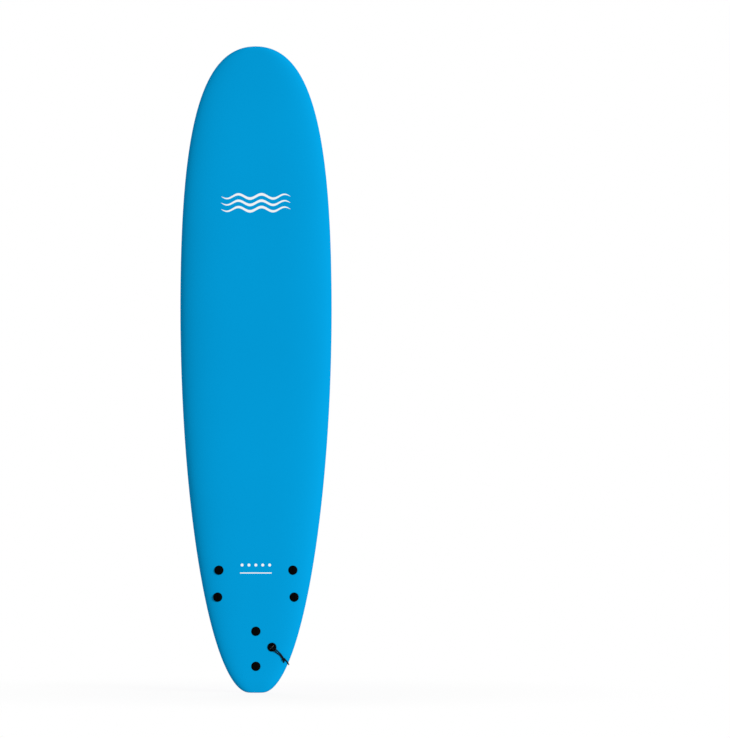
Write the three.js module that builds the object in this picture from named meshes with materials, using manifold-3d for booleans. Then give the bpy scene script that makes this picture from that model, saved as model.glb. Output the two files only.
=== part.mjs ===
// An eight-foot soft-top longboard with three bolt-through fins and a leash string.
//
// Millimetres. The board stands upright on its tail: +Z runs from the tail to the nose, the deck faces -Y,
// the bottom and the fins face +Y, and +X is to the right of someone who looks at the deck.
// The origin is the centre of the small flat face at the end of the tail.

import * as THREE from 'three';
import { mergeVertices } from 'three/addons/utils/BufferGeometryUtils.js';
import Module from 'manifold-3d';

const wasm = await Module();
wasm.setup();

// ---------------------------------------------------------------- driving dimensions

const LENGTH = 2438; // 8 ft
const WIDTH = 572; // 22 1/2 in
const THICKNESS = 83; // 3 1/4 in
const GAP = 0.3; // between pieces that touch
const FINEST = 0.02; // detail smaller than this is merged away after a cut

// outline: two curves that meet at the widest station
const WIDEST = 1445; // station of the greatest width, from the tail
const NOSE_FULLNESS = 668; // how long the sides stay full towards the nose
const NOSE_BLUNTNESS = 213; // how far across the nose stays blunt
const TAIL_FULLNESS = 752;
const TAIL_BLUNTNESS = 144;
const TAIL_FLAT = 24; // half the flat at the end of the tail

// rocker and foil, seen from the side
const LOWEST = 1181; // station where the bottom is lowest
const NOSE_ROCKER = 121;
const NOSE_ROCKER_POWER = 2.5;
const TAIL_ROCKER = 57;
const TAIL_ROCKER_POWER = 2.3;
const NOSE_THICKNESS = 29.5;
const NOSE_FOIL_POWER = 3;
const TAIL_THICKNESS = 36;
const TAIL_FOIL_POWER = 3.5;
const NOSE_ROUND = 15; // length over which the nose rounds off
const TAIL_TAPER = 45; // length over which the tail thins towards its end
const TAIL_TAPER_POWER = 1.5;
const TAIL_END = 0.62; // share of the thickness that the tail still has at its end
const TAIL_ROUND = 5;
const TAIL_EDGE = 0.28; // share of the tail's end that its rounded edges take

// cross-section
const APEX = 0.42; // height of the widest point of the rail, as a share of the thickness
const DECK_DOME_POWER = 4;
const RAIL_TUCK = 12; // how far in the bottom starts to curve up under the rail, at the widest station
const RAIL_POWER = 1.5; // how fast the tuck and the seam near the edge where the board is narrower
const DOME_STEPS = 5;
const TUCK_STEPS = 3;
const TAIL_STATIONS = 13;
const NOSE_STATIONS = 10;
const STATION_POWER = 2.5; // crowds the stations towards the ends

// layers
const DECK_FOAM = 5;
const SLICK = 1.2;
const SEAM_INSET = 10.5; // from the widest station's edge to the seam between deck foam and bottom sheet
const SEAM_END = 4.5; // the same distance at the nose and tail
const STRINGER_X = 90;
const STRINGER = 5;

// fin system
const SLEEVE_R = 9;
const POST_R = 7;
const POST_BORE_R = 3.3;
const SHANK_R = 3;
const SHANK_LENGTH = 26;
const BORE_DEPTH = 32;
const HEAD_R = 17.5;
const HEAD = 3;
const HEAD_EDGE = 1.2;
const HEAD_SINK = 1.8; // how far the bolt heads are drawn down into the deck foam
const SLOT = { length: 22, width: 3, depth: 1.6 };
const PLATE = 4;
const PLATE_BEVEL = 1.2;
const BLADE_THICKNESS = 11.5;
const BLADE_TAPER_POWER = 5; // a high power keeps the blade thick almost to its tip
const ROUND = 12; // sides of a small round piece; a large one has twice as many

// The edges of every blade, each point as [how far aft of the front of the root, how far out of the plate].
const LEADING_EDGE = [
  [0, 0], [12, 31], [26, 51], [45, 77], [67, 98], [96, 115], [126, 122], [149, 122], [162, 114], [168, 104],
];
const TRAILING_EDGE = [[113, 0], [112, 36], [117, 55], [129, 73], [144, 85], [158, 93], [168, 104]];

const SIDE_FIN = { station: 408, bolts: 101.6, plate: 156, width: 33, plateShift: 8, bladeFront: 62 };
const SIDE_FIN_X = 142;
const TOE_IN = THREE.MathUtils.degToRad(2.7);
const CENTRE_FIN = { station: 162, bolts: 132, plate: 181, width: 38, plateShift: 15, bladeFront: 51 };

// leash plug and string
const PLUG_X = 60.8;
const PLUG_STATION = 172;
const CUP_R = 13;
const CUP_CAVITY_R = 10.5;
const CUP_DEPTH = 13;
const CUP_FLOOR = 2.5;
const FLANGE_R = 17;
const FLANGE = 3;
const BAR_R = 2;
const BAR_HALF = 12;
const BAR_BELOW_DECK = 1.5;
const BAR_DIRECTION = new THREE.Vector3(1, 0, 1);
const STRING_R = 2;
const STRING_STEPS = 40;
const KNOT = { at: [106.6, -7.5, 125.0], halfAcross: 6.5, halfHigh: 4.9, halfLong: 6.8 };

// The string is one cord, looped loosely round the bar. Each half starts under the bar, comes out of the cup,
// lies on the deck, goes through the knot and ends free, the long half over the edge of the rail.
const LONG_HALF = [
  [61.2, 1.4, 171.4], [63.0, 0.6, 169.8], [65.1, -1.8, 168.7], [66.4, -4.8, 168.7],
  [67.6, -8.3, 169.0], [70.1, -11.2, 167.8], [73.0, -12.1, 165.9], [76.2, -11.6, 163.2],
  [79.9, -10.0, 159.8], [84.2, -8.3, 155.6], [88.5, -7.5, 151.5], [92.7, -7.1, 147.1],
  [96.5, -6.6, 142.3], [100.1, -6.8, 137.2], [103.6, -7.0, 131.9], [107.7, -6.7, 127.0],
  [112.5, -4.3, 123.0], [116.5, -0.9, 118.8], [120.1, 2.7, 113.5], [122.9, 6.8, 108.4],
  [124.9, 11.2, 103.4],
];
const SHORT_HALF = [
  [60.1, 1.4, 172.2], [58.2, 0.6, 173.8], [56.3, -1.8, 175.1], [55.4, -4.9, 175.5],
  [55.7, -8.2, 174.5], [56.9, -10.6, 172.5], [58.9, -11.5, 170.1], [61.9, -11.9, 166.8],
  [65.0, -12.0, 163.5], [67.9, -12.0, 160.7], [70.9, -11.6, 157.9], [74.5, -10.0, 154.5],
  [79.1, -8.5, 150.6], [83.9, -8.0, 146.9], [88.8, -7.6, 143.3], [93.3, -7.1, 139.2],
  [96.9, -7.3, 134.1], [100.4, -7.7, 128.8], [103.7, -7.7, 124.6], [105.6, -6.2, 120.2],
  [106.1, -4.6, 115.9], [105.9, -3.9, 112.3],
];

// ---------------------------------------------------------------- materials

const deckFoam = () => new THREE.MeshStandardMaterial({ color: 0x0099d5, roughness: 0.75, metalness: 0 });
const slickPlastic = () => new THREE.MeshStandardMaterial({ color: 0x7a70ff, roughness: 0.3, metalness: 0 });
const blankFoam = () => new THREE.MeshStandardMaterial({ color: 0xf2f2ee, roughness: 0.9, metalness: 0 });
const thinFoam = () => new THREE.MeshStandardMaterial({ color: 0xdfe3e6, roughness: 0.9, metalness: 0 });
const plywood = () => new THREE.MeshStandardMaterial({ color: 0xc79a63, roughness: 0.7, metalness: 0 });
const blackPlastic = () => new THREE.MeshStandardMaterial({ color: 0x0c0c0d, roughness: 0.35, metalness: 0 });
const greyPlastic = () => new THREE.MeshStandardMaterial({ color: 0x8d9094, roughness: 0.5, metalness: 0 });
const steel = () => new THREE.MeshStandardMaterial({ color: 0xb8bcc0, roughness: 0.3, metalness: 1 });
const cordBlack = () => new THREE.MeshStandardMaterial({ color: 0x101014, roughness: 0.85, metalness: 0 });

// ---------------------------------------------------------------- joining and cutting

function toSolid(geometry) {
  const bare = geometry.index ? geometry.clone() : geometry;
  bare.deleteAttribute('normal');
  bare.deleteAttribute('uv');
  const merged = mergeVertices(bare, 1e-4);
  return new wasm.Manifold(new wasm.Mesh({
    numProp: 3,
    vertProperties: new Float32Array(merged.attributes.position.array),
    triVerts: new Uint32Array(merged.index.array),
  }));
}

function toGeometry(solid) {
  const mesh = solid.getMesh();
  const geometry = new THREE.BufferGeometry();
  geometry.setAttribute('position', new THREE.BufferAttribute(mesh.vertProperties, 3));
  geometry.setIndex(new THREE.BufferAttribute(mesh.triVerts, 1));
  geometry.computeVertexNormals();
  return geometry;
}

function cutAll(solid, tools) {
  return tools.reduce((left, tool) => left.subtract(tool), solid).simplify(FINEST);
}

// A closed solid through rings of points, each ring listed the same way round; a ring of one point is a tip.
function loft(rings) {
  const positions = [];
  const faces = [];
  const starts = rings.map((ring) => {
    const start = positions.length / 3;
    ring.forEach((p) => positions.push(p.x, p.y, p.z));
    return start;
  });
  const corner = (row, k) => starts[row] + (k % rings[row].length);
  for (let row = 0; row + 1 < rings.length; row += 1) {
    const count = Math.max(rings[row].length, rings[row + 1].length);
    for (let k = 0; k < count; k += 1) {
      const [a, b] = [corner(row, k), corner(row, k + 1)];
      const [c, d] = [corner(row + 1, k), corner(row + 1, k + 1)];
      if (a !== b) faces.push(a, b, d);
      if (c !== d) faces.push(a, d, c);
    }
  }
  const cap = (row, flip) => {
    const ring = rings[row];
    if (ring.length === 1) return;
    const centre = ring.reduce((sum, p) => sum.add(p), new THREE.Vector3()).divideScalar(ring.length);
    const hub = positions.length / 3;
    positions.push(centre.x, centre.y, centre.z);
    for (let k = 0; k < ring.length; k += 1) {
      const [a, b] = [corner(row, k), corner(row, k + 1)];
      faces.push(hub, ...(flip ? [b, a] : [a, b]));
    }
  };
  cap(0, true);
  cap(rings.length - 1, false);
  const geometry = new THREE.BufferGeometry();
  geometry.setAttribute('position', new THREE.Float32BufferAttribute(positions, 3));
  geometry.setIndex(faces);
  return geometry;
}

// ---------------------------------------------------------------- shape of the board

const point2 = (x, y) => new THREE.Vector2(x, y);

const noseOutline = new THREE.CubicBezierCurve(
  point2(WIDTH / 2, WIDEST),
  point2(WIDTH / 2, WIDEST + NOSE_FULLNESS),
  point2(NOSE_BLUNTNESS, LENGTH),
  point2(0, LENGTH),
);
const tailOutline = new THREE.CubicBezierCurve(
  point2(WIDTH / 2, WIDEST),
  point2(WIDTH / 2, WIDEST - TAIL_FULLNESS),
  point2(TAIL_FLAT + TAIL_BLUNTNESS, 0),
  point2(TAIL_FLAT, 0),
);

function halfWidth(z) {
  const curve = z > WIDEST ? noseOutline : tailOutline;
  let [low, high] = [0, 1];
  for (let step = 0; step < 40; step += 1) {
    const middle = (low + high) / 2;
    const reached = Math.abs(curve.getPoint(middle).y - WIDEST) > Math.abs(z - WIDEST);
    [low, high] = reached ? [low, middle] : [middle, high];
  }
  return curve.getPoint(low).x;
}

// Elevations are measured from the lowest point of the bottom towards the deck.
function bottomRise(z) {
  return z > LOWEST
    ? NOSE_ROCKER * ((z - LOWEST) / (LENGTH - LOWEST)) ** NOSE_ROCKER_POWER
    : TAIL_ROCKER * ((LOWEST - z) / LOWEST) ** TAIL_ROCKER_POWER;
}

function thickness(z) {
  if (z > LOWEST) {
    const share = ((z - LOWEST) / (LENGTH - LOWEST)) ** NOSE_FOIL_POWER;
    return THICKNESS - (THICKNESS - NOSE_THICKNESS) * share;
  }
  const along = (LOWEST - z) / LOWEST;
  const share = along ** TAIL_FOIL_POWER * (1 + TAIL_FOIL_POWER * (1 - along));
  return THICKNESS - (THICKNESS - TAIL_THICKNESS) * share;
}

// How much of the thickness is left near each end, for a shape drawn in by an inset.
function endRound(z, inset) {
  const quarter = (distance, radius) => Math.sqrt(1 - Math.max(0, 1 - distance / radius) ** 2);
  const nose = quarter(LENGTH - inset - z, NOSE_ROUND);
  const taper = 1 - (1 - TAIL_END) * Math.max(0, 1 - (z - inset) / TAIL_TAPER) ** TAIL_TAPER_POWER;
  const edge = 1 - TAIL_EDGE * (1 - quarter(z - inset, TAIL_ROUND));
  return Math.min(nose, taper * edge);
}

const ORIGIN_RISE = bottomRise(0) + thickness(0) / 2;
const place = (x, elevation, z) => new THREE.Vector3(x, ORIGIN_RISE - elevation, z);

function section(z, inset) {
  const half = Math.max(halfWidth(z) - inset, 0);
  const full = thickness(z) - 2 * inset;
  const depth = full * endRound(z, inset);
  const base = bottomRise(z) + inset + (full - depth) / 2;
  if (half < 1e-3 || depth < 1e-3) return [place(0, base + depth / 2, z)];
  const apex = APEX * depth;
  const tuck = RAIL_TUCK * (half / (WIDTH / 2)) ** RAIL_POWER;
  const side = [];
  for (let k = 1; k <= DOME_STEPS; k += 1) {
    const angle = (Math.PI / 2) * (k / DOME_STEPS);
    side.push([half * Math.sin(angle) ** (2 / DECK_DOME_POWER), apex + (depth - apex) * Math.cos(angle)]);
  }
  for (let k = 1; k <= TUCK_STEPS; k += 1) {
    const angle = (Math.PI / 2) * (k / TUCK_STEPS);
    side.push([half - tuck * (1 - Math.cos(angle)), apex * (1 - Math.sin(angle))]);
  }
  return [
    place(0, base + depth, z),
    ...side.map(([x, e]) => place(x, base + e, z)),
    place(0, base, z),
    ...side.toReversed().map(([x, e]) => place(-x, base + e, z)),
  ];
}

// Every shape drawn in by an inset shares the board's own stations, apart from its two ends.
function stations(inset) {
  const list = [];
  for (let k = 1; k < TAIL_STATIONS; k += 1) list.push(WIDEST * (k / TAIL_STATIONS) ** STATION_POWER);
  for (let k = NOSE_STATIONS; k > 0; k -= 1) {
    list.push(LENGTH - (LENGTH - WIDEST) * (k / NOSE_STATIONS) ** STATION_POWER);
  }
  const clear = inset + 1;
  return [inset, ...list.filter((z) => z > clear && z < LENGTH - clear), LENGTH - inset];
}

const boardShape = (inset) => toSolid(loft(stations(inset).map((z) => section(z, inset))));

// Half the width inside the seam at a station, with a clearance all round.
function seamHalf(z, clear) {
  const end = SEAM_END + clear;
  const outline = halfWidth(((z - end) * LENGTH) / (LENGTH - 2 * end));
  const inset = SEAM_INSET * (outline / (WIDTH / 2)) ** RAIL_POWER;
  return Math.max(outline - inset - clear, 0.5);
}

// The space below the board's middle and inside the seam, where the bottom layers lie.
function bottomSpace(clear) {
  const below = 20;
  return toSolid(loft(stations(SEAM_END + clear).map((z) => {
    const half = seamHalf(z, clear);
    const low = bottomRise(z) - below;
    const middle = bottomRise(z) + thickness(z) / 2;
    return [place(-half, middle, z), place(half, middle, z), place(half, low, z), place(-half, low, z)];
  })));
}

function slab(x, width) {
  const box = new THREE.BoxGeometry(width, WIDTH, 2 * LENGTH);
  return toSolid(box.translate(x, 0, 0));
}

function deckRise(x, z) {
  const depth = thickness(z);
  const dome = Math.sqrt(Math.max(0, 1 - (Math.abs(x) / halfWidth(z)) ** DECK_DOME_POWER));
  return bottomRise(z) + depth * (APEX + (1 - APEX) * dome);
}

function deckNormal(x, z) {
  const step = 1;
  const across = (deckRise(x + step, z) - deckRise(x - step, z)) / (2 * step);
  const along = (deckRise(x, z + step) - deckRise(x, z - step)) / (2 * step);
  return new THREE.Vector3(-across, -1, -along).normalize();
}

// ---------------------------------------------------------------- fins, bolts and sleeves

// A fin's own axes: +Y straight out of the bottom, +Z towards the nose.
function finFrame(x, fin, toe) {
  const step = 1;
  const slope = (bottomRise(fin.station + step) - bottomRise(fin.station - step)) / (2 * step);
  const frame = new THREE.Group();
  frame.position.copy(place(x, bottomRise(fin.station), fin.station));
  frame.rotation.set(Math.atan(slope), toe, 0);
  frame.updateMatrixWorld();
  return frame;
}

const boltStations = (fin) => [fin.bolts / 2, -fin.bolts / 2];

// The distance from the bottom to the deck along a bolt.
function throughDepth(frame, z) {
  let depth = THICKNESS / 2;
  for (let turn = 0; turn < 12; turn += 1) {
    const p = frame.localToWorld(new THREE.Vector3(0, -depth, z));
    depth += deckRise(p.x, p.z) - (ORIGIN_RISE - p.y);
  }
  return depth;
}

const cylinder = (radius, top, bottom, z, sides = ROUND) =>
  new THREE.CylinderGeometry(radius, radius, top - bottom, sides).translate(0, (top + bottom) / 2, z);

function bladeGeometry(fin) {
  const spline = (points) => new THREE.SplineCurve(points.map(([aft, out]) => point2(aft, out)));
  const [leading, trailing] = [spline(LEADING_EDGE), spline(TRAILING_EDGE)];
  const rows = 10;
  const half = 5;
  const sunk = 1;
  const rings = [];
  for (let row = 0; row < rows; row += 1) {
    const share = row / rows;
    const [front, back] = [leading.getPointAt(share), trailing.getPointAt(share)];
    const wanted = BLADE_THICKNESS * (1 - share ** BLADE_TAPER_POWER);
    const thick = Math.min(wanted, front.distanceTo(back) / 3);
    const ring = [];
    for (let k = 0; k < 2 * half; k += 1) {
      const along = (1 - Math.cos((Math.PI * k) / half)) / 2;
      const side = k < half ? 1 : -1;
      const p = front.clone().lerp(back, along);
      ring.push(new THREE.Vector3(side * foil(along) * (thick / 2), p.y, -p.x));
    }
    rings.push(ring);
  }
  const tip = leading.getPointAt(1);
  rings.push([new THREE.Vector3(0, tip.y, -tip.x)]);
  rings.unshift(rings[0].map((p) => new THREE.Vector3(p.x, -sunk, p.z)));
  return loft(rings).translate(0, GAP + PLATE, fin.bladeFront);
}

// Half the blade's thickness along the chord, as a share of the most: round in front, thin behind.
function foil(along) {
  const peak = 0.3849;
  return (Math.sqrt(along) * (1 - along)) / peak;
}

function plateGeometry(fin) {
  const r = fin.width / 2 - PLATE_BEVEL;
  const straight = fin.plate / 2 - fin.width / 2;
  const outline = new THREE.Shape();
  outline.absarc(0, straight, r, 0, Math.PI);
  outline.absarc(0, -straight, r, Math.PI, 2 * Math.PI);
  const geometry = new THREE.ExtrudeGeometry(outline, {
    depth: PLATE - 2 * PLATE_BEVEL,
    bevelThickness: PLATE_BEVEL,
    bevelSize: PLATE_BEVEL,
    bevelSegments: 1,
    curveSegments: 5,
  });
  return geometry.rotateX(-Math.PI / 2).translate(0, GAP + PLATE_BEVEL, fin.plateShift);
}

function finSolid(frame, fin) {
  const plateTop = GAP + PLATE;
  let solid = toSolid(plateGeometry(fin)).add(toSolid(bladeGeometry(fin)));
  for (const z of boltStations(fin)) {
    const end = -(throughDepth(frame, z) - HEAD_SINK - GAP);
    solid = solid.add(toSolid(cylinder(POST_R, plateTop - 1, end, z)));
    solid = solid.subtract(toSolid(cylinder(POST_BORE_R, end + BORE_DEPTH, end - 1, z)));
  }
  return solid;
}

function boltSolid(depth, z) {
  const under = -(depth - HEAD_SINK);
  const top = under - HEAD;
  const profile = [
    [0, under + SHANK_LENGTH], [SHANK_R, under + SHANK_LENGTH], [SHANK_R, under], [HEAD_R, under],
    [HEAD_R, top + HEAD_EDGE], [HEAD_R - HEAD_EDGE, top], [0, top],
  ].map(([r, y]) => point2(r, y));
  const bolt = toSolid(new THREE.LatheGeometry(profile.toReversed(), 2 * ROUND).translate(0, 0, z));
  const slot = new THREE.BoxGeometry(SLOT.width, 2 * SLOT.depth, SLOT.length).translate(0, top, z);
  return bolt.subtract(toSolid(slot));
}

function sleeveSolid(depth, z) {
  const bottom = -(depth - HEAD_SINK - GAP);
  const outside = toSolid(cylinder(SLEEVE_R, 0, bottom, z));
  return outside.subtract(toSolid(cylinder(POST_R + GAP, 1, bottom - 1, z)));
}

// Everything that one fin needs: its solids, and the holes that it makes in the board.
function finSet(name, x, fin, toe) {
  const frame = finFrame(x, fin, toe);
  const meshes = [new THREE.Mesh(toGeometry(finSolid(frame, fin)), blackPlastic())];
  meshes[0].name = `fin_${name}`;
  const holes = [];
  const recesses = [];
  boltStations(fin).forEach((z, k) => {
    const end = k === 0 ? 'front' : 'rear';
    const depth = throughDepth(frame, z);
    const bolt = new THREE.Mesh(toGeometry(boltSolid(depth, z)), blackPlastic());
    bolt.name = `fin_bolt_${name}_${end}`;
    const sleeve = new THREE.Mesh(toGeometry(sleeveSolid(depth, z)), greyPlastic());
    sleeve.name = `fin_sleeve_${name}_${end}`;
    meshes.push(bolt, sleeve);
    const past = 15;
    const hole = cylinder(SLEEVE_R + GAP, past, -depth - past, z);
    const recess = cylinder(HEAD_R + GAP, -(depth - HEAD_SINK - GAP), -depth - past, z, 2 * ROUND);
    holes.push(toSolid(hole.applyMatrix4(frame.matrixWorld)));
    recesses.push(toSolid(recess.applyMatrix4(frame.matrixWorld)));
  });
  frame.add(...meshes);
  return { frame, holes, recesses };
}

// ---------------------------------------------------------------- leash plug and string

// The plug's own axes: +X along the bar, +Y straight out of the deck, +Z the way the string leaves.
function plugFrame() {
  const out = deckNormal(PLUG_X, PLUG_STATION);
  const bar = BAR_DIRECTION.clone().addScaledVector(out, -BAR_DIRECTION.dot(out)).normalize();
  const matrix = new THREE.Matrix4().makeBasis(bar, out, bar.clone().cross(out));
  const frame = new THREE.Group();
  frame.quaternion.setFromRotationMatrix(matrix);
  frame.position.copy(place(PLUG_X, deckRise(PLUG_X, PLUG_STATION), PLUG_STATION));
  frame.updateMatrixWorld();
  return frame;
}

function cupSolid() {
  const edge = 1.5;
  const profile = [
    [0, -CUP_DEPTH], [CUP_R, -CUP_DEPTH], [CUP_R, GAP], [FLANGE_R, GAP],
    [FLANGE_R, FLANGE - edge], [FLANGE_R - edge, FLANGE], [CUP_CAVITY_R + edge, FLANGE],
    [CUP_CAVITY_R, FLANGE - edge], [CUP_CAVITY_R, CUP_FLOOR - CUP_DEPTH], [0, CUP_FLOOR - CUP_DEPTH],
  ].map(([r, y]) => point2(r, y));
  const cup = toSolid(new THREE.LatheGeometry(profile, 2 * ROUND));
  const socket = new THREE.CylinderGeometry(BAR_R + GAP, BAR_R + GAP, 2 * (BAR_HALF + GAP), ROUND);
  return cup.subtract(toSolid(socket.rotateZ(Math.PI / 2).translate(0, -BAR_BELOW_DECK, 0)));
}

function barGeometry() {
  const bar = new THREE.CylinderGeometry(BAR_R, BAR_R, 2 * BAR_HALF, ROUND);
  return bar.rotateZ(Math.PI / 2).translate(0, -BAR_BELOW_DECK, 0);
}

function stringGeometry(route, radius) {
  const path = new THREE.CatmullRomCurve3(route.map((p) => new THREE.Vector3(...p)));
  const round = new THREE.Shape();
  round.absarc(0, 0, radius, 0, 2 * Math.PI);
  return new THREE.ExtrudeGeometry(round, { steps: STRING_STEPS, curveSegments: 4, extrudePath: path });
}

// The knot is a plain oval that both halves of the string run through.
function knotSolid(frame) {
  const oval = new THREE.SphereGeometry(1, ROUND, ROUND - 4);
  oval.scale(KNOT.halfAcross, KNOT.halfHigh, KNOT.halfLong).applyQuaternion(frame.quaternion);
  const clear = (STRING_R + GAP) / Math.cos(Math.PI / 8);
  return cutAll(toSolid(oval.translate(...KNOT.at)), [
    toSolid(stringGeometry(LONG_HALF, clear)),
    toSolid(stringGeometry(SHORT_HALF, clear)),
  ]);
}

function plugPocket(frame) {
  const past = 15;
  const pocket = cylinder(CUP_R + GAP, past, -CUP_DEPTH - GAP, 0, 2 * ROUND);
  return toSolid(pocket.applyMatrix4(frame.matrixWorld));
}

// ---------------------------------------------------------------- the whole board

function named(name, geometry, material) {
  const mesh = new THREE.Mesh(geometry, material);
  mesh.name = name;
  return mesh;
}

function blankAndSkins(holes, recesses, pocket) {
  const outside = boardShape(0);
  const insideSkin = boardShape(DECK_FOAM);
  const blank = boardShape(DECK_FOAM + GAP);
  const deckSkin = cutAll(outside.subtract(insideSkin).subtract(bottomSpace(0)), [
    ...holes, ...recesses, pocket,
  ]);
  const inSeam = bottomSpace(GAP);
  const slick = cutAll(outside.intersect(inSeam).subtract(boardShape(SLICK)), holes);
  const layer = cutAll(boardShape(SLICK + GAP).intersect(inSeam).subtract(insideSkin), holes);

  const inner = STRINGER_X - STRINGER / 2 - GAP;
  const outer = STRINGER_X + STRINGER / 2 + GAP;
  const strip = (low, high) => slab((low + high) / 2, high - low);
  const drilled = cutAll(blank, [...holes, pocket]);
  return [
    named('deck_skin', toGeometry(deckSkin), deckFoam()),
    named('slick_bottom_skin', toGeometry(slick), slickPlastic()),
    named('bottom_foam_layer', toGeometry(layer), thinFoam()),
    named('core_left', toGeometry(drilled.intersect(strip(-WIDTH, -outer))), blankFoam()),
    named('core_centre', toGeometry(drilled.intersect(strip(-inner, inner))), blankFoam()),
    named('core_right', toGeometry(drilled.intersect(strip(outer, WIDTH))), blankFoam()),
    named('stringer_left', toGeometry(blank.intersect(slab(-STRINGER_X, STRINGER))), plywood()),
    named('stringer_right', toGeometry(blank.intersect(slab(STRINGER_X, STRINGER))), plywood()),
  ];
}

const finSets = [
  finSet('left', -SIDE_FIN_X, SIDE_FIN, TOE_IN),
  finSet('right', SIDE_FIN_X, SIDE_FIN, -TOE_IN),
  finSet('centre', 0, CENTRE_FIN, 0),
];
const plug = plugFrame();
const board = new THREE.Group();
board.add(...blankAndSkins(
  finSets.flatMap((set) => set.holes),
  finSets.flatMap((set) => set.recesses),
  plugPocket(plug),
));
board.add(...finSets.map((set) => set.frame));
plug.add(named('leash_cup', toGeometry(cupSolid()), blackPlastic()));
plug.add(named('leash_bar', barGeometry(), steel()));
board.add(plug);
board.add(named('leash_string_long', stringGeometry(LONG_HALF, STRING_R), cordBlack()));
board.add(named('leash_string_short', stringGeometry(SHORT_HALF, STRING_R), cordBlack()));
board.add(named('leash_knot', toGeometry(knotSolid(plug)), cordBlack()));

export default board;
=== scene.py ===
"""An eight-foot soft-top longboard with three bolt-through fins and a leash string, standing on its tail.

Metres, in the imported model's frame: +Z runs from the tail to the nose, the deck faces -Y, the bottom and the
fins face +Y, and +X is to the right of someone who looks at the deck.
"""
import math

import bmesh
import bpy
import numpy as np
from mathutils import Matrix, Vector


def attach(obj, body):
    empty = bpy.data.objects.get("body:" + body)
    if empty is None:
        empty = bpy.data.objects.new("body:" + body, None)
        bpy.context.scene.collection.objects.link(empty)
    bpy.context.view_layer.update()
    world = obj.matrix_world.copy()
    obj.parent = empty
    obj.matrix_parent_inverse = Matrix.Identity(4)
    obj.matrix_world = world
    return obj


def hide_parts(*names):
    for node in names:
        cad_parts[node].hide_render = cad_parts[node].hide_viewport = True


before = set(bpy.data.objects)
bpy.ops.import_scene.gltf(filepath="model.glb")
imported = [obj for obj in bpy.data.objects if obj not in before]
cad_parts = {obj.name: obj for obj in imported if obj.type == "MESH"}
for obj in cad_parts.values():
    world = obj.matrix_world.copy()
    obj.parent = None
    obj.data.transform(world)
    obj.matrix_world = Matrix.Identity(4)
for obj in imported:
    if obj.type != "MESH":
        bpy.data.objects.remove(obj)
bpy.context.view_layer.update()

# ---------------------------------------------------------------- driving dimensions

LENGTH = 2.438
WIDTH = 0.572
THICKNESS = 0.083
GAP = 0.0003  # between pieces that touch
TINY = 1e-6
PAST = 0.015  # how far a cutter reaches past the surface that it cuts
SLOPE_STEP = 0.001  # half the distance over which a slope is taken

# outline
WIDEST = 1.445
NOSE_FULLNESS = 0.668
NOSE_BLUNTNESS = 0.213
TAIL_FULLNESS = 0.752
TAIL_BLUNTNESS = 0.144
TAIL_FLAT = 0.024

# rocker and foil
LOWEST = 1.181
NOSE_ROCKER = 0.121
NOSE_ROCKER_POWER = 2.5
TAIL_ROCKER = 0.057
TAIL_ROCKER_POWER = 2.3
NOSE_THICKNESS = 0.0295
NOSE_FOIL_POWER = 3
TAIL_THICKNESS = 0.036
TAIL_FOIL_POWER = 3.5
NOSE_ROUND = 0.015
TAIL_TAPER = 0.045
TAIL_TAPER_POWER = 1.5
TAIL_END = 0.62  # share of the thickness that the tail still has at its end
TAIL_ROUND = 0.005
TAIL_EDGE = 0.28  # share of the tail's end that its rounded edges take

# cross-section
APEX = 0.42
DECK_DOME_POWER = 4
RAIL_TUCK = 0.012  # at the widest station
RAIL_POWER = 1.5  # how fast the tuck and the seam near the edge where the board is narrower
DOME_STEPS = 34
TUCK_STEPS = 10
FLAT_STEPS = 6
TAIL_STATIONS = 70
NOSE_STATIONS = 60

# layers
DECK_FOAM = 0.005
SLICK = 0.0012
SEAM_INSET = 0.0105  # at the widest station
SEAM_END = 0.0045  # at the nose and tail
SEAM_LEAST = 0.0005  # half the width left inside the seam at its ends

# fin system
SLEEVE_R = 0.009
POST_R = 0.007
POST_BORE_R = 0.0033
SHANK_R = 0.003
SHANK_LENGTH = 0.026
BORE_DEPTH = 0.032
HEAD_R = 0.0175
HEAD = 0.003
HEAD_EDGE = 0.0012
HEAD_SINK = 0.0018
SLOT_LENGTH = 0.022
SLOT_WIDTH = 0.003
SLOT_DEPTH = 0.0016
PLATE = 0.004
PLATE_BEVEL = 0.0012
BLADE_THICKNESS = 0.0115
BLADE_TAPER_POWER = 5  # a high power keeps the blade thick almost to its tip
BLADE_EDGE = 0.0004  # half the thickness of the trailing edge
BLADE_FILLET = 0.003
FOIL_PEAK = 0.3849  # the most that sqrt(x) * (1 - x) reaches

# the edges of every blade, each point as (how far aft of the front of the root, how far out of the plate)
LEADING_EDGE = [
    (0, 0), (0.012, 0.031), (0.026, 0.051), (0.045, 0.077), (0.067, 0.098), (0.096, 0.115), (0.126, 0.122),
    (0.149, 0.122), (0.162, 0.114), (0.168, 0.104),
]
TRAILING_EDGE = [
    (0.113, 0), (0.112, 0.036), (0.117, 0.055), (0.129, 0.073), (0.144, 0.085), (0.158, 0.093),
    (0.168, 0.104),
]

SIDE_FIN = {
    "station": 0.408, "bolts": 0.1016, "plate": 0.156, "width": 0.033, "plate_shift": 0.008,
    "blade_front": 0.062,
}
SIDE_FIN_X = 0.142
TOE_IN = math.radians(2.7)
CENTRE_FIN = {
    "station": 0.162, "bolts": 0.132, "plate": 0.181, "width": 0.038, "plate_shift": 0.015,
    "blade_front": 0.051,
}

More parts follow.
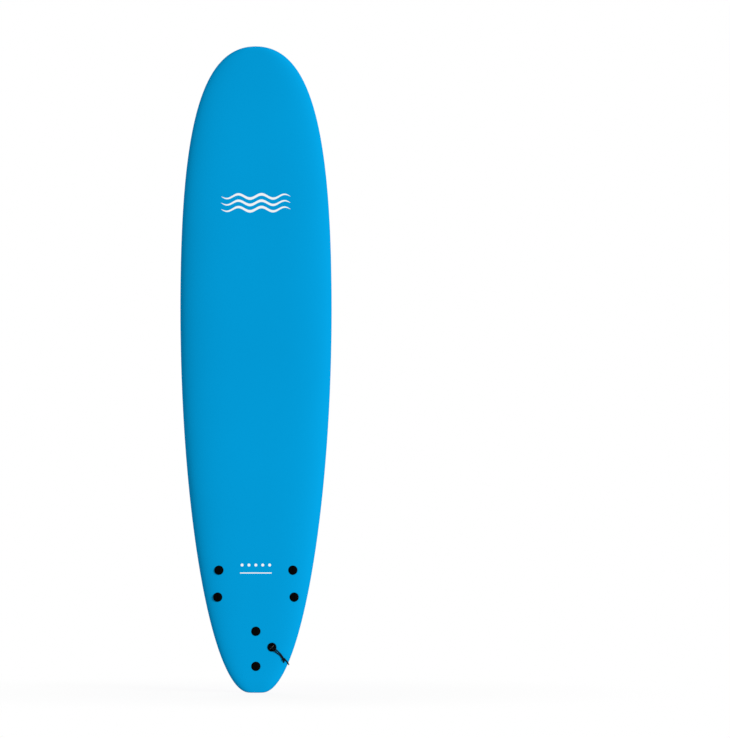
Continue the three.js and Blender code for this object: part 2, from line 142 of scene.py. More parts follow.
# leash plug and string
PLUG_X = 0.0608
PLUG_STATION = 0.172
CUP_R = 0.013
CUP_CAVITY_R = 0.0105
CUP_DEPTH = 0.013
CUP_FLOOR = 0.0025
FLANGE_R = 0.017
FLANGE = 0.003
FLANGE_EDGE = 0.0015
BAR_R = 0.002
BAR_HALF = 0.012
BAR_BELOW_DECK = 0.0015
BAR_DIRECTION = Vector((1, 0, 1))
STRING_D = 0.004
KNOT_AT = Vector((0.1066, -0.0075, 0.1250))
KNOT_HALF = Vector((0.0065, 0.0049, 0.0068))  # across, high and long
LONG_HALF = [
    (0.0612, 0.0014, 0.1714), (0.0630, 0.0006, 0.1698), (0.0651, -0.0018, 0.1687),
    (0.0664, -0.0048, 0.1687), (0.0676, -0.0083, 0.1690), (0.0701, -0.0112, 0.1678),
    (0.0730, -0.0121, 0.1659), (0.0762, -0.0116, 0.1632), (0.0799, -0.0100, 0.1598),
    (0.0842, -0.0083, 0.1556), (0.0885, -0.0075, 0.1515), (0.0927, -0.0071, 0.1471),
    (0.0965, -0.0066, 0.1423), (0.1001, -0.0068, 0.1372), (0.1036, -0.0070, 0.1319),
    (0.1077, -0.0067, 0.1270), (0.1125, -0.0043, 0.1230), (0.1165, -0.0009, 0.1188),
    (0.1201, 0.0027, 0.1135), (0.1229, 0.0068, 0.1084), (0.1249, 0.0112, 0.1034),
]
SHORT_HALF = [
    (0.0601, 0.0014, 0.1722), (0.0582, 0.0006, 0.1738), (0.0563, -0.0018, 0.1751),
    (0.0554, -0.0049, 0.1755), (0.0557, -0.0082, 0.1745), (0.0569, -0.0106, 0.1725),
    (0.0589, -0.0115, 0.1701), (0.0619, -0.0119, 0.1668), (0.0650, -0.0120, 0.1635),
    (0.0679, -0.0120, 0.1607), (0.0709, -0.0116, 0.1579), (0.0745, -0.0100, 0.1545),
    (0.0791, -0.0085, 0.1506), (0.0839, -0.0080, 0.1469), (0.0888, -0.0076, 0.1433),
    (0.0933, -0.0071, 0.1392), (0.0969, -0.0073, 0.1341), (0.1004, -0.0077, 0.1288),
    (0.1037, -0.0077, 0.1246), (0.1056, -0.0062, 0.1202), (0.1061, -0.0046, 0.1159),
    (0.1059, -0.0039, 0.1123),
]

# printed marks, all of them generic
MARK_EDGE = 0.0005  # width of a mark's soft edge
LINE_HALF = 0.0022  # half the thickness of a line or a dash
DECK_WAVES = {"long": 0.262, "gap": 0.024, "swing": 0.008, "weight": 0.0052}
DECK_WAVES_Z = 1.849
DOT_Z = 0.482
DOT_R = 0.0058
DOT_SPACING = 0.026
UNDERLINE_Z = 0.452
UNDERLINE_HALF = 0.060  # half its length
BOTTOM_WAVES = {"long": 0.250, "gap": 0.016, "swing": 0.006, "weight": 0.0042}
BOTTOM_WAVES_Z = 0.658
DASH_SPACING = 0.015
DASHES_Z = 0.414
DASHES_HALF = 0.083  # half the length of the row

# camera: square to the deck, far away, with the board left of the middle
CAMERA_DISTANCE = 30.96
CAMERA_LENS = 400
CAMERA_X = 0.412
CAMERA_Z = 1.222

# light
AMBIENT = 0.45
REFLECTED = 0.05
FLOOR_R = 60
FLOOR_TONE = 0.76
FLOOR_FADE_START = 0.35  # the floor turns into the background between these distances from the board
FLOOR_FADE_END = 1.8
FLOOR_GLOW = 0.9  # how much of the background's white the nearest floor has


# ---------------------------------------------------------------- curves

def smooth_line(points, steps):
    """A Catmull-Rom curve through the points, with that many steps in each span."""
    line = np.array(points, float)
    line = np.vstack([line[0], line, line[-1]])
    made = []
    for a, b, c, d in zip(line, line[1:], line[2:], line[3:]):
        for t in np.arange(steps) / steps:
            bend = (2 * a - 5 * b + 4 * c - d) * t**2 + (3 * b - a - 3 * c + d) * t**3
            made.append(b + ((c - a) * t + bend) / 2)
    made.append(line[-1])
    return np.array(made)


def even_line(line, count):
    """The same line as count points at even distances along it."""
    along = np.concatenate([[0], np.cumsum(np.linalg.norm(np.diff(line, axis=0), axis=1))])
    wanted = np.linspace(0, along[-1], count)
    return np.stack([np.interp(wanted, along, column) for column in line.T], axis=1)


def line_length(line):
    return float(np.linalg.norm(np.diff(line, axis=0), axis=1).sum())


def bezier(a, b, c, d, t):
    return (1 - t) ** 3 * a + 3 * (1 - t) ** 2 * t * b + 3 * (1 - t) * t**2 * c + t**3 * d


# ---------------------------------------------------------------- meshes

def mesh_object(name, points, faces):
    mesh = bpy.data.meshes.new(name)
    mesh.from_pydata([tuple(p) for p in points], [], faces)
    made = bpy.data.objects.new(name, mesh)
    bpy.context.scene.collection.objects.link(made)
    shape = bmesh.new()
    shape.from_mesh(mesh)
    bmesh.ops.recalc_face_normals(shape, faces=shape.faces)
    shape.to_mesh(mesh)
    shape.free()
    return made


def loft(name, rings):
    """A closed solid through rings of points that run the same way round; a ring of one point is a tip."""
    points = []
    starts = []
    faces = []
    for ring in rings:
        starts.append(len(points))
        points.extend(ring)
    for row in range(len(rings) - 1):
        near, far = len(rings[row]), len(rings[row + 1])
        for k in range(max(near, far)):
            corners = [
                starts[row] + k % near,
                starts[row] + (k + 1) % near,
                starts[row + 1] + (k + 1) % far,
                starts[row + 1] + k % far,
            ]
            faces.append(list(dict.fromkeys(corners)))
    for row in (0, len(rings) - 1):
        if len(rings[row]) > 1:
            faces.append([starts[row] + k for k in range(len(rings[row]))])
    return mesh_object(name, points, faces)


def lathe(name, profile, sides, matrix):
    """A solid of revolution about +Y through (radius, height) points, which start and end on the axis."""
    rings = []
    for radius, height in profile:
        turns = [2 * math.pi * k / sides for k in range(sides if radius > TINY else 1)]
        rings.append([Vector((radius * math.cos(a), height, radius * math.sin(a))) for a in turns])
    made = loft(name, rings)
    made.data.transform(matrix)
    return made


def combine(operation, target, *tools):
    """The target after a UNION, DIFFERENCE or INTERSECT with each tool; the tools are used up."""
    for tool in tools:
        modifier = target.modifiers.new("combine", "BOOLEAN")
        modifier.operation = operation
        modifier.solver = "MANIFOLD"
        modifier.object = tool
        depsgraph = bpy.context.evaluated_depsgraph_get()
        target.data = bpy.data.meshes.new_from_object(target.evaluated_get(depsgraph))
        target.modifiers.clear()
        bpy.data.objects.remove(tool)
    return target


def finished(piece, body, node, material, sharp=35):
    """Smooth shading up to the sharp angle, a material, and the CAD node that the piece stands for."""
    piece.name = node + "_finished"
    piece.data.shade_smooth()
    piece.data.set_sharp_from_angle(angle=math.radians(sharp))
    piece.data.materials.clear()
    piece.data.materials.append(material)
    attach(piece, body)
    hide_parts(node)
    return piece


# ---------------------------------------------------------------- shape of the board

def half_width(z):
    """Half the outline's width. The point of its curve at this height is found by halving."""
    if z > WIDEST:
        heights = (WIDEST, WIDEST + NOSE_FULLNESS, LENGTH, LENGTH)
        widths = (WIDTH / 2, WIDTH / 2, NOSE_BLUNTNESS, 0)
    else:
        heights = (WIDEST, WIDEST - TAIL_FULLNESS, 0, 0)
        widths = (WIDTH / 2, WIDTH / 2, TAIL_FLAT + TAIL_BLUNTNESS, TAIL_FLAT)
    low, high = 0.0, 1.0
    for _ in range(40):
        middle = (low + high) / 2
        if abs(bezier(*heights, middle) - WIDEST) > abs(z - WIDEST):
            high = middle
        else:
            low = middle
    return bezier(*widths, low)


def bottom_rise(z):
    if z > LOWEST:
        return NOSE_ROCKER * ((z - LOWEST) / (LENGTH - LOWEST)) ** NOSE_ROCKER_POWER
    return TAIL_ROCKER * ((LOWEST - z) / LOWEST) ** TAIL_ROCKER_POWER


def thickness(z):
    if z > LOWEST:
        share = ((z - LOWEST) / (LENGTH - LOWEST)) ** NOSE_FOIL_POWER
        return THICKNESS - (THICKNESS - NOSE_THICKNESS) * share
    along = (LOWEST - z) / LOWEST
    share = along**TAIL_FOIL_POWER * (1 + TAIL_FOIL_POWER * (1 - along))
    return THICKNESS - (THICKNESS - TAIL_THICKNESS) * share


def quarter(distance, radius):
    """The height of a quarter circle at a distance from its foot, from 0 to 1."""
    return math.sqrt(max(0, 1 - max(0, 1 - distance / radius) ** 2))


def end_round(z, inset):
    """How much of the thickness is left near each end, for a shape drawn in by an inset."""
    nose = quarter(LENGTH - inset - z, NOSE_ROUND)
    taper = 1 - (1 - TAIL_END) * max(0, 1 - (z - inset) / TAIL_TAPER) ** TAIL_TAPER_POWER
    edge = 1 - TAIL_EDGE * (1 - quarter(z - inset, TAIL_ROUND))
    return min(nose, taper * edge)


ORIGIN_RISE = bottom_rise(0) + thickness(0) / 2


def place(x, elevation, z):
    return Vector((x, ORIGIN_RISE - elevation, z))


def section(z, inset):
    """The ring round the board at station z, drawn in by inset on every side."""
    half = max(half_width(z) - inset, 0)
    full = thickness(z) - 2 * inset
    depth = full * end_round(z, inset)
    base = bottom_rise(z) + inset + (full - depth) / 2
    if half < TINY or depth < TINY:
        return [place(0, base + depth / 2, z)]
    apex = APEX * depth
    tuck = RAIL_TUCK * (half / (WIDTH / 2)) ** RAIL_POWER
    side = []
    for k in range(1, DOME_STEPS + 1):
        angle = math.pi / 2 * (k / DOME_STEPS) ** 2
        out = half * math.sin(angle) ** (2 / DECK_DOME_POWER)
        side.append((out, apex + (depth - apex) * math.cos(angle)))
    for k in range(1, TUCK_STEPS + 1):
        angle = math.pi / 2 * k / TUCK_STEPS
        side.append((half - tuck * (1 - math.cos(angle)), apex * (1 - math.sin(angle))))
    for k in range(1, FLAT_STEPS):
        side.append(((half - tuck) * (1 - k / FLAT_STEPS), 0))
    right = [place(x, base + e, z) for x, e in side]
    left = [place(-x, base + e, z) for x, e in reversed(side)]
    return [place(0, base + depth, z), *right, place(0, base, z), *left]


def stations(inset):
    tail = [WIDEST * (k / TAIL_STATIONS) ** 2 for k in range(1, TAIL_STATIONS)]
    nose = [LENGTH - (LENGTH - WIDEST) * (k / NOSE_STATIONS) ** 2 for k in range(NOSE_STATIONS, 0, -1)]
    clear = inset + GAP
    between = [z for z in tail + nose if clear < z < LENGTH - clear]
    return [inset, *between, LENGTH - inset]


def board_shape(inset):
    return loft("shape", [section(z, inset) for z in stations(inset)])


def seam_half(z, clear):
    """Half the width inside the seam at a station, with a clearance all round."""
    end = SEAM_END + clear
    outline = half_width((z - end) * LENGTH / (LENGTH - 2 * end))
    inset = SEAM_INSET * (outline / (WIDTH / 2)) ** RAIL_POWER
    return max(outline - inset - clear, SEAM_LEAST)


def bottom_space(clear):
    """The space below the board's middle and inside the seam, where the bottom sheet lies."""
    below = 0.020
    rings = []
    for z in stations(SEAM_END + clear):
        half = seam_half(z, clear)
        low = bottom_rise(z) - below
        middle = bottom_rise(z) + thickness(z) / 2
        corners = [(-half, middle), (half, middle), (half, low), (-half, low)]
        rings.append([place(x, elevation, z) for x, elevation in corners])
    return loft("space", rings)


def deck_rise(x, z):
    dome = math.sqrt(max(0, 1 - (abs(x) / half_width(z)) ** DECK_DOME_POWER))
    return bottom_rise(z) + thickness(z) * (APEX + (1 - APEX) * dome)


def slope_at(rise, t):
    return (rise(t + SLOPE_STEP) - rise(t - SLOPE_STEP)) / (2 * SLOPE_STEP)


def deck_normal(x, z):
    across = slope_at(lambda t: deck_rise(t, z), x)
    along = slope_at(lambda t: deck_rise(x, t), z)
    return Vector((-across, -1, -along)).normalized()


# ---------------------------------------------------------------- fins and bolts

def fin_frame(x, fin, toe):
    """A fin's own axes: +Y straight out of the bottom, +Z towards the nose."""
    station = fin["station"]
    tilt = math.atan(slope_at(bottom_rise, station))
    turned = Matrix.Rotation(tilt, 4, "X") @ Matrix.Rotation(toe, 4, "Y")
    return Matrix.Translation(place(x, bottom_rise(station), station)) @ turned


def bolt_stations(fin):
    return {"front": fin["bolts"] / 2, "rear": -fin["bolts"] / 2}


def through_depth(matrix, z):
    """The distance from the bottom to the deck along a bolt."""
    depth = THICKNESS / 2
    for _ in range(12):
        p = matrix @ Vector((0, -depth, z))
        depth += deck_rise(p.x, p.z) - (ORIGIN_RISE - p.y)
    return depth


def rod(name, radius, top, bottom, matrix, z=0.0, sides=48):
    """A round rod along +Y from bottom to top, at z in the frame of the matrix."""
    profile = [(0, bottom), (radius, bottom), (radius, top), (0, top)]
    return lathe(name, profile, sides, matrix @ Matrix.Translation((0, 0, z)))


def stadium(half, straight, y, turns=16):
    """A ring round a strip with round ends, along Z."""
    ring = []
    for end in (1, -1):
        for k in range(turns + 1):
            angle = math.pi * k / turns + (0 if end > 0 else math.pi)
            ring.append(Vector((half * math.cos(angle), y, end * straight + half * math.sin(angle))))
    return ring


def fin_plate(fin, matrix):
    """The base plate, with a small bevel under it and a round one on top."""
    half = fin["width"] / 2
    straight = fin["plate"] / 2 - half
    under = PLATE_BEVEL / 2
    rings = [stadium(half - under, straight, GAP), stadium(half, straight, GAP + under)]
    steps = 5
    for k in range(steps + 1):
        angle = math.pi / 2 * k / steps
        inset = PLATE_BEVEL * (1 - math.cos(angle))
        rings.append(stadium(half - inset, straight, GAP + PLATE - PLATE_BEVEL * (1 - math.sin(angle))))
    made = loft("plate", rings)
    made.data.transform(matrix @ Matrix.Translation((0, 0, fin["plate_shift"])))
    return made


def foil(along):
    """Half the blade's thickness along the chord, as a share of the most: round in front, thin behind."""
    return math.sqrt(along) * (1 - along) / FOIL_PEAK


def fin_blade(fin, matrix):
    """The blade, with a fillet that runs out into the plate."""
    rows = 72
    fillet_rows = 4
    half = 22  # steps along the chord
    sunk = 0.001  # into the plate
    least_fineness = 3  # a short chord's length over its thickness
    round_share = 0.1  # of the chord, in which the fillet comes to its full width
    edge_share = 0.25  # of the chord, in which the trailing edge's thickness comes in
    front = even_line(smooth_line(LEADING_EDGE, 24), rows + 1)
    back = even_line(smooth_line(TRAILING_EDGE, 24), rows + 1)
    rings = []
    for row in range(-fillet_rows, rows):
        share = max(row, 0) / rows
        nose, tail = front[max(row, 0)], back[max(row, 0)]
        chord = np.linalg.norm(tail - nose)
        thick = min(BLADE_THICKNESS * (1 - share**BLADE_TAPER_POWER), chord / least_fineness)
        lift = BLADE_FILLET * min(1, (row + fillet_rows) / fillet_rows)
        flare = BLADE_FILLET - math.sqrt(BLADE_FILLET**2 - (BLADE_FILLET - lift) ** 2)
        upper = []
        for k in range(half + 1):
            along = (1 - math.cos(math.pi * k / half)) / 2
            aft, out = nose + (tail - nose) * along
            edge = BLADE_EDGE * min(1, along / edge_share) * (1 - share)
            x = foil(along) * thick / 2 + edge + flare * quarter(along, round_share)
            aft += flare * (2 * along - 1)
            out = lift if row < 0 else max(out, BLADE_FILLET)
            upper.append(Vector((x, out, -aft)))
        lower = [Vector((-p.x, p.y, p.z)) for p in reversed(upper[1:])]
        rings.append(upper + lower)
    rings.insert(0, [Vector((p.x, -sunk, p.z)) for p in rings[0]])
    tip = front[-1]
    rings.append([Vector((0, tip[1], -tip[0]))])
    made = loft("blade", rings)
    made.data.transform(matrix @ Matrix.Translation((0, GAP + PLATE, fin["blade_front"])))
    return made


def fin_piece(name, matrix, fin, materials):
    """Plate, blade and two threaded posts in one piece. The materials are the blade's and the plate's."""
    made = combine("UNION", fin_plate(fin, matrix), fin_blade(fin, matrix))
    for z in bolt_stations(fin).values():
        end = -(through_depth(matrix, z) - HEAD_SINK - GAP)
        made = combine("UNION", made, rod("post", POST_R, GAP + PLATE / 2, end, matrix, z))
        bore = rod("bore", POST_BORE_R, end + BORE_DEPTH, end - PAST, matrix, z)
        made = combine("DIFFERENCE", made, bore)
    blade, plate = materials
    made = finished(made, "board", f"fin_{name}", blade)
    made.data.materials.append(plate)
    away = matrix.inverted()
    for face in made.data.polygons:
        face.material_index = int((away @ face.center).y < GAP + PLATE + TINY)
    return made


def bolt_piece(name, depth, matrix, z, material):
    """A bolt with a wide slotted disc for a head, let into the deck's foam."""
    under = -(depth - HEAD_SINK)
    top = under - HEAD
    chamfer = 0.0005
    steps = 6
    foot = under + SHANK_LENGTH
    profile = [(0, foot), (SHANK_R - chamfer, foot), (SHANK_R, foot - chamfer), (SHANK_R, under),
               (HEAD_R - chamfer, under)]
    for k in range(steps + 1):
        angle = math.pi / 2 * k / steps
        inset = HEAD_EDGE * (1 - math.cos(angle))
        profile.append((HEAD_R - inset, top + HEAD_EDGE * (1 - math.sin(angle))))
    profile.append((0, top))
    turned = matrix @ Matrix.Translation((0, 0, z))
    made = lathe("bolt", profile, 96, turned)
    straight = (SLOT_LENGTH - SLOT_WIDTH) / 2
    ends = (top + SLOT_DEPTH, top - SLOT_DEPTH)
    slot = loft("slot", [stadium(SLOT_WIDTH / 2, straight, y) for y in ends])
    slot.data.transform(turned)
    return finished(combine("DIFFERENCE", made, slot), "board", name, material)


# ---------------------------------------------------------------- leash plug and string

def plug_frame():
    """The plug's own axes: +X along the bar, +Y straight out of the deck, +Z the way the string leaves."""
    out = deck_normal(PLUG_X, PLUG_STATION)
    bar = (BAR_DIRECTION - BAR_DIRECTION.dot(out) * out).normalized()
    turned = Matrix((bar, out, bar.cross(out))).transposed().to_4x4()
    return Matrix.Translation(place(PLUG_X, deck_rise(PLUG_X, PLUG_STATION), PLUG_STATION)) @ turned


def bar_axis(matrix):
    """The plug's frame turned and sunk, so that +Y runs along the bar."""
    return matrix @ Matrix.Translation((0, -BAR_BELOW_DECK, 0)) @ Matrix.Rotation(math.pi / 2, 4, "Z")


def cup_piece(matrix, material):
    """A flanged cup, with the socket for the bar cut through its wall."""
    steps = 6
    outer = []
    inner = []
    for k in range(steps + 1):
        angle = math.pi / 2 * k / steps
        drop = FLANGE - FLANGE_EDGE * (1 - math.sin(angle))
        outer.append((FLANGE_R - FLANGE_EDGE * (1 - math.cos(angle)), drop))
        inner.append((CUP_CAVITY_R + FLANGE_EDGE * (1 - math.cos(angle)), drop))
    floor = CUP_FLOOR - CUP_DEPTH
    profile = [(0, -CUP_DEPTH), (CUP_R, -CUP_DEPTH), (CUP_R, GAP), (FLANGE_R, GAP), *outer,
               *reversed(inner), (CUP_CAVITY_R, floor), (0, floor)]
    made = lathe("cup", profile, 96, matrix)
    socket = rod("socket", BAR_R + GAP, BAR_HALF + GAP, -BAR_HALF - GAP, bar_axis(matrix))
    return finished(combine("DIFFERENCE", made, socket), "board", "leash_cup", material)


def bar_piece(matrix, material):
    chamfer = 0.0004
    profile = [(0, -BAR_HALF), (BAR_R - chamfer, -BAR_HALF), (BAR_R, chamfer - BAR_HALF),
               (BAR_R, BAR_HALF - chamfer), (BAR_R - chamfer, BAR_HALF), (0, BAR_HALF)]
    return finished(lathe("bar", profile, 48, bar_axis(matrix)), "board", "leash_bar", material)


def braided_tube(name, line, diameter, sides=32):
    """A round braid along a line: two sets of strands that wind opposite ways stand out of it."""
    radius = diameter / 2
    strands = 4
    lay = 2 * math.pi / (4 * diameter)  # one turn of a strand in four diameters
    relief = 0.10  # how deep the grooves between the strands are, as a share of the radius
    step = 0.00035  # between the rings
    line = even_line(line, max(8, int(line_length(line) / step)))
    total = line_length(line)
    along = np.linspace(0, total, len(line))
    tangents = np.gradient(line, axis=0)
    tangents /= np.linalg.norm(tangents, axis=1)[:, None]
    normal = Vector(tangents[0]).orthogonal().normalized()
    rings = [[Vector(line[0])]]
    for point, tangent, s in zip(line, tangents, along):
        tangent = Vector(tangent)
        normal = (normal - normal.dot(tangent) * tangent).normalized()
        other = tangent.cross(normal)
        end = quarter(max(min(s, total - s), 0.02 * radius), radius)
        ring = []
        for k in range(sides):
            turn = 2 * math.pi * k / sides
            left = abs(math.cos(strands * (turn + lay * s) / 2))
            right = abs(math.cos(strands * (turn - lay * s) / 2))
            reach = radius * end * (1 - relief + relief * max(left, right))
            ring.append(Vector(point) + reach * (math.cos(turn) * normal + math.sin(turn) * other))
        rings.append(ring)
    rings.append([Vector(line[-1])])
    return loft(name, rings)


def string_piece(node, route, material):
    """One half of the leash string, which is a free cord."""
    line = smooth_line(route, 8)
    made = finished(braided_tube(node, line, STRING_D), "leash_string", node, material, 60)
    return made


def knot_piece(matrix, material):
    """The string wound round itself, nearly three turns inside the knot's oval."""
    turns = 2.6
    steps = 120
    end_share = 0.82  # the winding's width at its ends as a share of the most
    reach = KNOT_HALF - Vector((1, 1, 1)) * STRING_D / 2
    axes = matrix.to_3x3()
    line = []
    for k in range(steps + 1):
        share = k / steps
        angle = 2 * math.pi * turns * share
        swell = end_share + (1 - end_share) * math.sin(math.pi * share)
        round_x = reach.x * swell * math.cos(angle)
        round_y = reach.y * swell * math.sin(angle)
        line.append(KNOT_AT + axes @ Vector((round_x, round_y, reach.z * (2 * share - 1))))
    made = braided_tube("knot", np.array(line), STRING_D)
    return finished(made, "leash_string", "leash_knot", material, 60)


# ---------------------------------------------------------------- materials

def linear(r, g, b):
    """A display colour from 0 to 255 as the linear colour that a shader takes."""
    shares = [c / 255 for c in (r, g, b)]
    return tuple(v / 12.92 if v <= 0.04045 else ((v + 0.055) / 1.055) ** 2.4 for v in shares)


class Field:
    """A value over a surface. Arithmetic on it adds Math nodes to the material."""

    def __init__(self, tree, socket):
        self.tree = tree
        self.socket = socket

    def math(self, operation, *others):
        node = self.tree.nodes.new("ShaderNodeMath")
        node.operation = operation
        for target, value in zip(node.inputs, (self, *others)):
            if isinstance(value, Field):
                self.tree.links.new(value.socket, target)
            else:
                target.default_value = value
        return Field(self.tree, node.outputs[0])

    def __add__(self, other):
        return self.math("ADD", other)

    def __sub__(self, other):
        return self.math("SUBTRACT", other)

    def __mul__(self, other):
        return self.math("MULTIPLY", other)

    def __truediv__(self, other):
        return self.math("DIVIDE", other)

    def minimum(self, other):
        return self.math("MINIMUM", other)

    def maximum(self, other):
        return self.math("MAXIMUM", other)

    def absolute(self):
        return self.math("ABSOLUTE")

    def clamped(self):
        return self.minimum(1.0).maximum(0.0)

    def smoothed(self):
        """0 below 0, 1 above 1 and an even slope between."""
        share = self.clamped()
        return share * share * (share * -2.0 + 3.0)

    def inside(self, half):
        """1 where the value is within half of 0, with a soft edge."""
        return ((self.absolute() - half) / -MARK_EDGE).clamped()


class Surface:
    """A Principled material with the position on the piece, in metres, as its x, y and z fields."""

    def __init__(self, name, rough, **settings):
        self.material = bpy.data.materials.new(name)
        self.material.use_nodes = True
        self.tree = self.material.node_tree
        self.shader = next(n for n in self.tree.nodes if n.type == "BSDF_PRINCIPLED")
        self.shader.inputs["Roughness"].default_value = rough
        for socket, value in settings.items():
            self.shader.inputs[socket.replace("_", " ")].default_value = value
        self.place = self.tree.nodes.new("ShaderNodeTexCoord").outputs["Object"]
        split = self.tree.nodes.new("ShaderNodeSeparateXYZ")
        self.tree.links.new(self.place, split.inputs[0])
        self.x, self.y, self.z = (Field(self.tree, split.outputs[k]) for k in range(3))

    def noise(self, size, detail=2.0, stretch=(1, 1, 1)):
        """Noise from about 0 to 1 with features of that size in metres."""
        mapping = self.tree.nodes.new("ShaderNodeMapping")
        mapping.inputs["Scale"].default_value = [s / size for s in stretch]
        node = self.tree.nodes.new("ShaderNodeTexNoise")
        node.inputs["Scale"].default_value = 1
        node.inputs["Detail"].default_value = detail
        self.tree.links.new(self.place, mapping.inputs["Vector"])
        self.tree.links.new(mapping.outputs[0], node.inputs["Vector"])
        return Field(self.tree, node.outputs["Fac"])

    def cells(self, size, feature="F1"):
        """Distance inside rounded cells of that size in metres."""
        node = self.tree.nodes.new("ShaderNodeTexVoronoi")
        node.feature = feature
        node.inputs["Scale"].default_value = 1 / size
        self.tree.links.new(self.place, node.inputs["Vector"])
        return Field(self.tree, node.outputs["Distance"])

    def ramp(self, field, stops):
        """A colour for each value of the field, from (value, display colour) stops in rising order."""
        low, high = stops[0][0], stops[-1][0]
        node = self.tree.nodes.new("ShaderNodeValToRGB")
        elements = node.color_ramp.elements
        while len(elements) < len(stops):
            elements.new(0.5)
        for element, (value, colour) in zip(elements, stops):
            element.position = (value - low) / (high - low)
            element.color = (*linear(*colour), 1)
        share = (field - low) / (high - low)
        self.tree.links.new(share.socket, node.inputs[0])
        return node.outputs[0]

    def mix(self, share, under, over):
        """The colour under where share is 0 and over where it is 1."""
        node = self.tree.nodes.new("ShaderNodeMix")
        node.data_type = "RGBA"
        sockets = {s.identifier: s for s in node.inputs}
        for name, value in (("Factor_Float", share), ("A_Color", under), ("B_Color", over)):
            if isinstance(value, tuple):
                sockets[name].default_value = (*linear(*value), 1)
            else:
                self.tree.links.new(getattr(value, "socket", value), sockets[name])
        return next(s for s in node.outputs if s.identifier == "Result_Color")

    def shaded(self, colour, share):
        """The colour made darker or lighter by a field around 1."""
        node = self.tree.nodes.new("ShaderNodeVectorMath")
        node.operation = "SCALE"
        self.tree.links.new(colour, node.inputs[0])
        self.tree.links.new(share.socket, node.inputs["Scale"])
        return node.outputs[0]

    def finish(self, colour, rough=None, bump=None, height=0.0002):
        """Links what the surface is made of: a colour, and fields for roughness and bump."""
        if isinstance(colour, tuple):
            self.shader.inputs["Base Color"].default_value = (*linear(*colour), 1)
        else:
            self.tree.links.new(colour, self.shader.inputs["Base Color"])
        if rough is not None:
            self.tree.links.new(rough.socket, self.shader.inputs["Roughness"])
        if bump is not None:
            node = self.tree.nodes.new("ShaderNodeBump")
            node.inputs["Distance"].default_value = height
            self.tree.links.new(bump.socket, node.inputs["Height"])
            self.tree.links.new(node.outputs[0], self.shader.inputs["Normal"])
        return self.material


def waves(along, across, long, gap, swing, weight):
    """A generic mark of three waves side by side, thinner towards its ends."""
    share = along / (long / 2)
    taper = (share * share * -1.0 + 1.0).maximum(0.0).math("SQRT")
    wave = (along * (6 * math.pi / long)).math("SINE") * swing
    lines = None
    for row in (-1, 0, 1):
        off = across - row * gap - wave
        line = off.inside(taper * weight)
        lines = line if lines is None else lines.maximum(line)
    return lines


def deck_foam():
    s = Surface("deck_foam_blue", 0.7, Specular_IOR_Level=0.015)
    skin = s.cells(0.0034, "SMOOTH_F1") * 0.6 + s.noise(0.0012) * 0.4
    tone = s.noise(0.25, 3.0) * 0.05 + s.noise(0.0016) * 0.06 + 0.945
    blue = s.ramp(s.noise(0.9, 1.0), [(0.0, (0, 149, 209)), (1.0, (0, 157, 218))])
    big = waves(s.x, s.z - DECK_WAVES_Z, **DECK_WAVES)
    line = s.x.inside(UNDERLINE_HALF) * (s.z - UNDERLINE_Z).inside(LINE_HALF)
    marks = big.maximum(line)
    for k in range(-2, 3):
        across = s.x - k * DOT_SPACING
        up = s.z - DOT_Z
        marks = marks.maximum((across * across + up * up).math("SQRT").inside(DOT_R))
    deck_side = ((s.y - 0.04) * -1000.0).clamped()  # the foam also wraps round to the bottom
    marks = marks * deck_side
    colour = s.mix(marks, s.shaded(blue, tone), (242, 245, 246))
    return s.finish(colour, s.noise(0.004) * 0.12 + 0.64, skin, 0.00025)


def bottom_print():
    """A grainy printed fade from green through cyan and blue to purple, under a slick clear film."""
    s = Surface("printed_slick", 0.34, Specular_IOR_Level=0.06)
    u = s.x / (-WIDTH / 2)  # from -1 at the right rail to 1 at the left one
    upper = s.ramp(s.z + u * 0.34, [
        (1.15, (12, 176, 253)), (1.25, (6, 186, 253)), (1.35, (0, 201, 253)), (1.45, (0, 212, 251)),
        (1.55, (2, 222, 245)), (1.65, (4, 224, 230)), (1.75, (6, 228, 210)), (1.95, (9, 231, 191)),
    ])
    lower = s.ramp(s.z + u * 0.06, [
        (0.018, (49, 97, 251)), (0.067, (70, 98, 250)), (0.124, (97, 99, 252)), (0.20, (118, 100, 252)),
        (0.35, (137, 101, 250)), (0.50, (147, 102, 249)), (0.61, (151, 102, 251)), (0.88, (159, 106, 252)),
        (1.05, (154, 114, 252)),
    ])
    # the purple's upper edge: low and sharp at the left rail, higher and softer towards the right one
    middle = ((u - 1.05) / -2.05).smoothed().math("POWER", 1.4) * 0.245 + 1.038
    reach = ((u - 0.75) / -1.75).smoothed() * 0.285 + 0.028
    faded = ((middle + reach - s.z) / (reach * 2.0)).smoothed().math("POWER", 1.9)
    grain = s.noise(0.0055, 3.0) * 0.14 + s.noise(0.0016) * 0.10 + 0.87
    print_colour = s.shaded(s.mix(faded, upper, lower), grain)
    big = waves(s.z - BOTTOM_WAVES_Z, s.x, **BOTTOM_WAVES)
    dash = (((s.z / DASH_SPACING).math("FRACT") - 0.6) * -30.0).clamped()
    dashes = dash * s.x.inside(LINE_HALF) * (s.z - DASHES_Z).inside(DASHES_HALF)
    colour = s.mix(big.maximum(dashes), print_colour, (246, 248, 250))
    return s.finish(colour, s.noise(0.02) * 0.08 + 0.3, s.noise(0.03, 1.0), 0.0002)


def black_gloss():
    s = Surface("glossy_black_plastic", 0.2, Specular_IOR_Level=0.03)
    tone = s.ramp(s.noise(0.02), [(0.3, (2, 2, 3)), (0.7, (5, 5, 6))])
    return s.finish(tone, s.noise(0.012, 3.0) * 0.08 + 0.12, s.noise(0.01, 2.0), 0.0001)


def black_satin():
    s = Surface("satin_black_plastic", 0.42, Specular_IOR_Level=0.3)
    tone = s.ramp(s.noise(0.003), [(0.3, (26, 26, 27)), (0.7, (36, 36, 37))])
    return s.finish(tone, s.noise(0.002) * 0.2 + 0.34, s.cells(0.0009), 0.00006)


